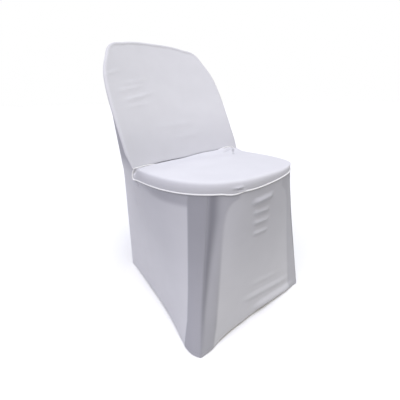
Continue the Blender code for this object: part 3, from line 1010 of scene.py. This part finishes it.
def sheet_faces(bm, on_hem):
    """Outer faces, inner faces, and the edge between them: along the hem it has a middle line."""
    count = len(bm.verts)
    faces, sides, middle = [], [], {}
    for face in bm.faces:
        ring = [vert.index for vert in face.verts]
        faces.append(ring)
        faces.append([k + count for k in reversed(ring)])
    for edge in bm.edges:
        if not edge.is_boundary:
            continue
        a, b = (vert.index for vert in edge.verts)
        if edge.link_loops[0].vert.index != a:
            a, b = b, a
        if on_hem[a] and on_hem[b]:
            for k in (a, b):
                middle.setdefault(k, 2 * count + len(middle))
            faces.append([b, a, middle[a], middle[b]])
            faces.append([middle[b], middle[a], a + count, b + count])
        else:
            faces.append([b, a, a + count, b + count])
            sides.append((a, b))
    for a, b in sides:
        if a in middle:
            faces.append([a + count, a, middle[a]])
        if b in middle:
            faces.append([b, b + count, middle[b]])
    return faces, list(middle)


def closed_sheet(name, bm):
    points = np.array([vert.co for vert in bm.verts]) - placed(np.zeros(3))
    back = chair_backing_and_shade(name, points)
    relief = fold_relief(points, FOLDS.get(name, ()))
    relief -= SPAN_DEPTH * (1 - back) * free_span(name, points)
    if name in SEWN:
        relief += seam_relief(points)
    outer = placed(points) + relief[:, None] * directions[name]
    inner = outer - CLOTH * directions[name]
    faces, hem = sheet_faces(bm, points[:, 2] < HEM_BELOW)
    half_way = (outer[hem] + inner[hem]) / 2 - CLOTH / 2 * UP
    mesh = bpy.data.meshes.new(name)
    mesh.from_pydata(np.vstack([outer, inner, half_way]).tolist(), [], faces)
    mesh.update()

    def for_all(values):
        return np.concatenate([values, values, values[hem]]).astype(np.float32)

    corner_verts = np.zeros(len(mesh.loops), int)
    mesh.loops.foreach_get("vertex_index", corner_verts)
    cut = for_all(flat_places(name, points))[corner_verts]
    mesh.uv_layers.new(name="flat_cut").data.foreach_set("uv", cut.ravel())
    # two attributes carry the painted shade: the chair behind, and the darkest lines
    for label, values in (("chair_backing_and_shade", back), ("corner", painted_shade_lines(name, points))):
        attribute = mesh.attributes.new(label, "FLOAT", "POINT")
        attribute.data.foreach_set("value", for_all(values))
    return mesh


# %% Make the six sheets
pieces = {}
for name, bm in surfaces.items():
    mesh = closed_sheet(name, bm)
    pieces[name] = bpy.data.objects.new(name + "_cloth", mesh)
    bpy.context.scene.collection.objects.link(pieces[name])
    mesh.shade_smooth()
    mesh.set_sharp_from_angle(angle=math.radians(60))
    bm.free()

# %% [markdown]
# ## The piping
#
# The bead is a strip folded round a thin cord and caught in the seam. A curve with a round bevel is
# the natural way, because it follows the seat line exactly. Along the foot of the back it sinks
# between the cap and the back, and only its ends show, where it stands up before the corners.

# %% The bead round the seat
PIPING_SINK = 0.0022
PIPING_RISE = 0.0030  # near the corners it stands up in front of the back's foot
SINK_AFTER = 0.045  # in from each corner
FORWARD = 0.5  # how far it moves forward for each metre up

climbed = ramp(loop[:, 2], seat_z(SEAT_SIDE_END), BACK_FOOT_Z) * (loop[:, 1] > SEAT_SIDE_END)
sunk = smooth_step((SEAT_HALF - np.abs(loop[:, 0]) - SINK_AFTER) / SINK_AFTER)
rise = climbed * (PIPING_RISE * (1 - sunk) - PIPING_SINK * sunk)
bead = loop + np.outer(rise, [0.0, -FORWARD, 1.0])

curve = bpy.data.curves.new("seat_piping", "CURVE")
curve.dimensions = "3D"
curve.bevel_depth = PIPING_RADIUS
curve.bevel_resolution = 3
spline = curve.splines.new("POLY")
spline.points.add(len(bead) - 1)
for point, place in zip(spline.points, placed(bead)):
    point.co = (*place, 1.0)
spline.use_cyclic_u = True
piping = bpy.data.objects.new("seat_piping_bead", curve)
bpy.context.scene.collection.objects.link(piping)
bpy.ops.object.select_all(action="DESELECT")
piping.select_set(True)
bpy.context.view_layer.objects.active = piping
bpy.ops.object.convert(target="MESH")
piping = bpy.context.view_layer.objects.active
piping.data.shade_smooth()
pieces["seat_piping"] = piping
print("piping", len(piping.data.polygons), "faces")

# %% [markdown]
# ## Material: bleached stretch knit
#
# The cloth is polyester with elastane, warp-knitted and bleached: a cool white, matt, with a faint
# sheen at grazing angles from its fine loops. Seen close it has upright ribs, the wales, about 1 mm
# apart, and a row of stitches above the hem. Over the chair it looks darker, as less light comes
# through it from behind, and two attributes paint that shade into its colour. The piping is folded
# double, so nothing shows through it. It is painted whiter than the rest: partly for that, and
# partly as a painted highlight along the bead.

# %% Colours and nodes
def linear(hex_colour):
    values = [int(hex_colour[k : k + 2], 16) / 255 for k in (1, 3, 5)]
    light = [v / 12.92 if v <= 0.04045 else ((v + 0.055) / 1.055) ** 2.4 for v in values]
    return (*light, 1.0)


def add_node(tree, kind, output, settings=None, links=None):
    """A new node with these settings and linked inputs: gives the output that is wanted."""
    node = tree.nodes.new(kind)
    for key, value in (settings or {}).items():
        if isinstance(key, int) or key in node.inputs:
            node.inputs[key].default_value = value
        else:
            setattr(node, key, value)
    for key, source in (links or {}).items():
        tree.links.new(source, node.inputs[key])
    return node.outputs[output]


def seen_and_lit(tree, as_light, to_camera):
    """One value for the light that is thrown back, and another for what the camera sees."""
    seen = add_node(tree, "ShaderNodeLightPath", "Is Camera Ray")
    shares = {"To Min": as_light, "To Max": to_camera}
    return add_node(tree, "ShaderNodeMapRange", "Result", shares, {"Value": seen})


print("knit's white, linear:", [round(value, 3) for value in linear("#E4E4E9")])

# %% The knit's material
WALE = 0.0022  # real ribs are 1 mm apart: drawn coarser, so that they show
WAVE_UNIT = 2 * math.pi / 20  # a wave texture of scale 1 repeats every 0.314 m
WALES = {"wave_type": "BANDS", "bands_direction": "X", "Scale": WAVE_UNIT / WALE}
RIBS = {"Strength": 0.25, "Distance": 0.0003}
PATCHES = {"Scale": 14.0, "Detail": 2.0, "Roughness": 0.5}  # uneven patches, about 70 mm across
PATCH_SHADE = {"From Min": 0.3, "From Max": 0.7, "To Min": 0.97, "To Max": 1.0}
HEM_DEPTH = 0.012  # the hem's row of stitches runs this far above its edge
STITCH = 0.0045
THREAD = 0.0006  # half the width that a thread shows
STITCH_GAP = -0.4  # below this height of its wave the thread dips under
THREAD_SHADE = {"To Min": 1.0, "To Max": 0.82}
MIX_A, MIX_B, MIX_RESULT = 6, 7, 2  # the colour sockets of a mix node
MULTIPLIED = {"blend_type": "MULTIPLY", "Factor": 1.0}
MATT = {"Roughness": 0.72, "Specular IOR Level": 0.25, "Sheen Weight": 0.12, "Sheen Roughness": 0.5}


def knit(name, free, shaded_on_chair, darkest_shade):
    material = bpy.data.materials.new(name)
    material.use_nodes = True
    tree = material.node_tree
    painted_chair_shade = add_node(tree, "ShaderNodeAttribute", "Fac", {"attribute_name": "chair_backing_and_shade"})
    # the attribute of the darkest painted shade
    corner = add_node(tree, "ShaderNodeAttribute", "Fac", {"attribute_name": "corner"})
    cut = add_node(tree, "ShaderNodeUVMap", "UV", {"uv_map": "flat_cut"})

    def mixed(settings, links):
        settings = {"data_type": "RGBA", **settings}
        return add_node(tree, "ShaderNodeMix", MIX_RESULT, settings, links)

    def worked_out(operation, first, settings=None, second=None):
        links = {0: first} if second is None else {0: first, 1: second}
        settings = {"operation": operation, **(settings or {})}
        return add_node(tree, "ShaderNodeMath", "Value", settings, links)

    # painted shade: darker where the chair lies behind, darkest along corners, below the bead and in
    # tight creases
    colour = mixed({MIX_A: linear(free), MIX_B: linear(shaded_on_chair)}, {"Factor": painted_chair_shade})
    colour = mixed({MIX_B: linear(darkest_shade)}, {"Factor": corner, MIX_A: colour})
    patches = add_node(tree, "ShaderNodeTexNoise", "Fac", PATCHES, {"Vector": cut})
    shade = add_node(tree, "ShaderNodeMapRange", "Result", PATCH_SHADE, {"Value": patches})
    colour = mixed(MULTIPLIED, {MIX_A: colour, MIX_B: shade})
    across = add_node(tree, "ShaderNodeSeparateXYZ", "X", None, {"Vector": cut})
    row = worked_out("COMPARE", across.node.outputs["Y"], {1: HEM_DEPTH, 2: THREAD})
    wave = worked_out("SINE", worked_out("MULTIPLY", across, {1: 2 * math.pi / STITCH}))
    stitch = worked_out("GREATER_THAN", wave, {1: STITCH_GAP})
    sewn = worked_out("MULTIPLY", row, second=stitch)
    thread = add_node(tree, "ShaderNodeMapRange", "Result", THREAD_SHADE, {"Value": sewn})
    colour = mixed(MULTIPLIED, {MIX_A: colour, MIX_B: thread})
    wales = add_node(tree, "ShaderNodeTexWave", "Fac", WALES, {"Vector": cut})
    bump = add_node(tree, "ShaderNodeBump", "Normal", RIBS, {"Height": wales})
    shader = tree.nodes["Principled BSDF"]
    for key, value in MATT.items():
        shader.inputs[key].default_value = value
    tree.links.new(colour, shader.inputs["Base Color"])
    tree.links.new(bump, shader.inputs["Normal"])
    return material


# the second and third colours are painted shade, not colours of the knit
KNIT = knit("bleached_stretch_knit", "#E4E4E9", "#B7B7BF", "#8E8E96")
# the bead is painted whiter: partly for its double cloth, partly as a painted highlight
BEAD_KNIT_WITH_HIGHLIGHT = knit("bleached_piping_knit", "#F4F4F4", "#F4F4F4", "#F4F4F4")
for name, piece in pieces.items():
    piece.data.materials.clear()
    piece.data.materials.append(BEAD_KNIT_WITH_HIGHLIGHT if name == "seat_piping" else KNIT)
print("materials", KNIT.name, BEAD_KNIT_WITH_HIGHLIGHT.name, len(KNIT.node_tree.nodes), "nodes each")

# %% [markdown]
# ## Join the pieces to the frame
#
# Every piece rides on the one body and stands for its solid. The cuts are smaller than the worn
# panels, because the cloth is stretched by about an eighth in area.

# %% Ride and replace
for name, piece in pieces.items():
    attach(piece, "root")
    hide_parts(name)

# %% [markdown]
# ## Floor, light and camera
#
# A pale floor and five soft suns give the even light of a studio: a strong one overhead, two from
# the left and the front, and two weak ones that fill the shadows. The floor looks nearly white to
# the camera, but throws only half of the light back onto the cloth. The camera stands half a metre
# from the seat and looks down, which is why the seat looks large and the back leans away.

# %% Floor
FLOOR_BOUNCE = 0.50  # the share of light that the floor throws back onto the cloth
FLOOR_SEEN = 0.98
FLOOR_SIZE = 120.0
FLOOR_Z = -0.0015  # just below the lowest point of the hem

bpy.ops.object.select_all(action="DESELECT")
bpy.ops.mesh.primitive_plane_add(size=FLOOR_SIZE, location=(0.0, 0.0, FLOOR_Z))
floor = bpy.context.view_layer.objects.active
floor.name = "floor"
paper = bpy.data.materials.new("pale_paper")
paper.use_nodes = True
tree = paper.node_tree
shader = tree.nodes["Principled BSDF"]
tree.links.new(seen_and_lit(tree, FLOOR_BOUNCE, FLOOR_SEEN), shader.inputs["Base Color"])
shader.inputs["Roughness"].default_value = 1.0
shader.inputs["Specular IOR Level"].default_value = 0.0
floor.data.materials.append(paper)
print("floor", tuple(floor.dimensions))


# %% Lights
def soft_sun(name, toward, angle, strength, colour):
    """A far light with soft edges, as large as this angle in the sky."""
    data = bpy.data.lights.new(name, "SUN")
    data.angle = math.radians(angle)
    data.energy = strength
    data.color = linear(colour)[:3]
    light = bpy.data.objects.new(name, data)
    light.rotation_euler = Vector(toward).to_track_quat("-Z", "Y").to_euler()
    bpy.context.scene.collection.objects.link(light)


soft_sun("overhead", (0.0, 0.08, -1.0), 35.0, 1.65, "#EEF2FF")
soft_sun("front_top", (0.10, 1.0, -1.25), 35.0, 0.66, "#FFF8E2")
soft_sun("left_top", (1.0, 0.12, -0.95), 45.0, 1.25, "#F5F2FF")
soft_sun("right_fill", (-1.0, 0.25, -0.80), 60.0, 0.40, "#FFFFFF")
soft_sun("rear_fill", (0.15, -1.0, -0.35), 60.0, 0.55, "#F3F5FF")

# %% World
AMBIENT = 0.13
BACKDROP = 1.0

world = bpy.data.worlds.new("studio")
world.use_nodes = True
tree = world.node_tree
sky = tree.nodes["Background"]
sky.inputs["Color"].default_value = (1.0, 1.0, 1.0, 1.0)
tree.links.new(seen_and_lit(tree, AMBIENT, BACKDROP), sky.inputs["Strength"])
bpy.context.scene.world = world
bpy.context.scene.view_settings.view_transform = "Standard"
print("world", world.name, "at", AMBIENT, "as light and", BACKDROP, "as backdrop")

# %% Camera
CAMERA_PLACE = (-0.4417, -0.5995, 0.6261)
CAMERA_YAW = math.radians(36.22)  # from +Y towards +X
CAMERA_PITCH = math.radians(23.84)  # downwards
CAMERA_ROLL = math.radians(-0.77)
CAMERA_LENS = 20.08

camera = bpy.data.objects.new("camera", bpy.data.cameras.new("camera"))
camera.data.lens = CAMERA_LENS
camera.data.sensor_width = 36.0
camera.data.clip_start = 0.02
camera.matrix_world = (
    Matrix.Translation(CAMERA_PLACE)
    @ Matrix.Rotation(-CAMERA_YAW, 4, "Z")
    @ Matrix.Rotation(math.radians(90) - CAMERA_PITCH, 4, "X")
    @ Matrix.Rotation(CAMERA_ROLL, 4, "Z")
)
bpy.context.scene.collection.objects.link(camera)
bpy.context.scene.camera = camera
print("camera at", CAMERA_PLACE)
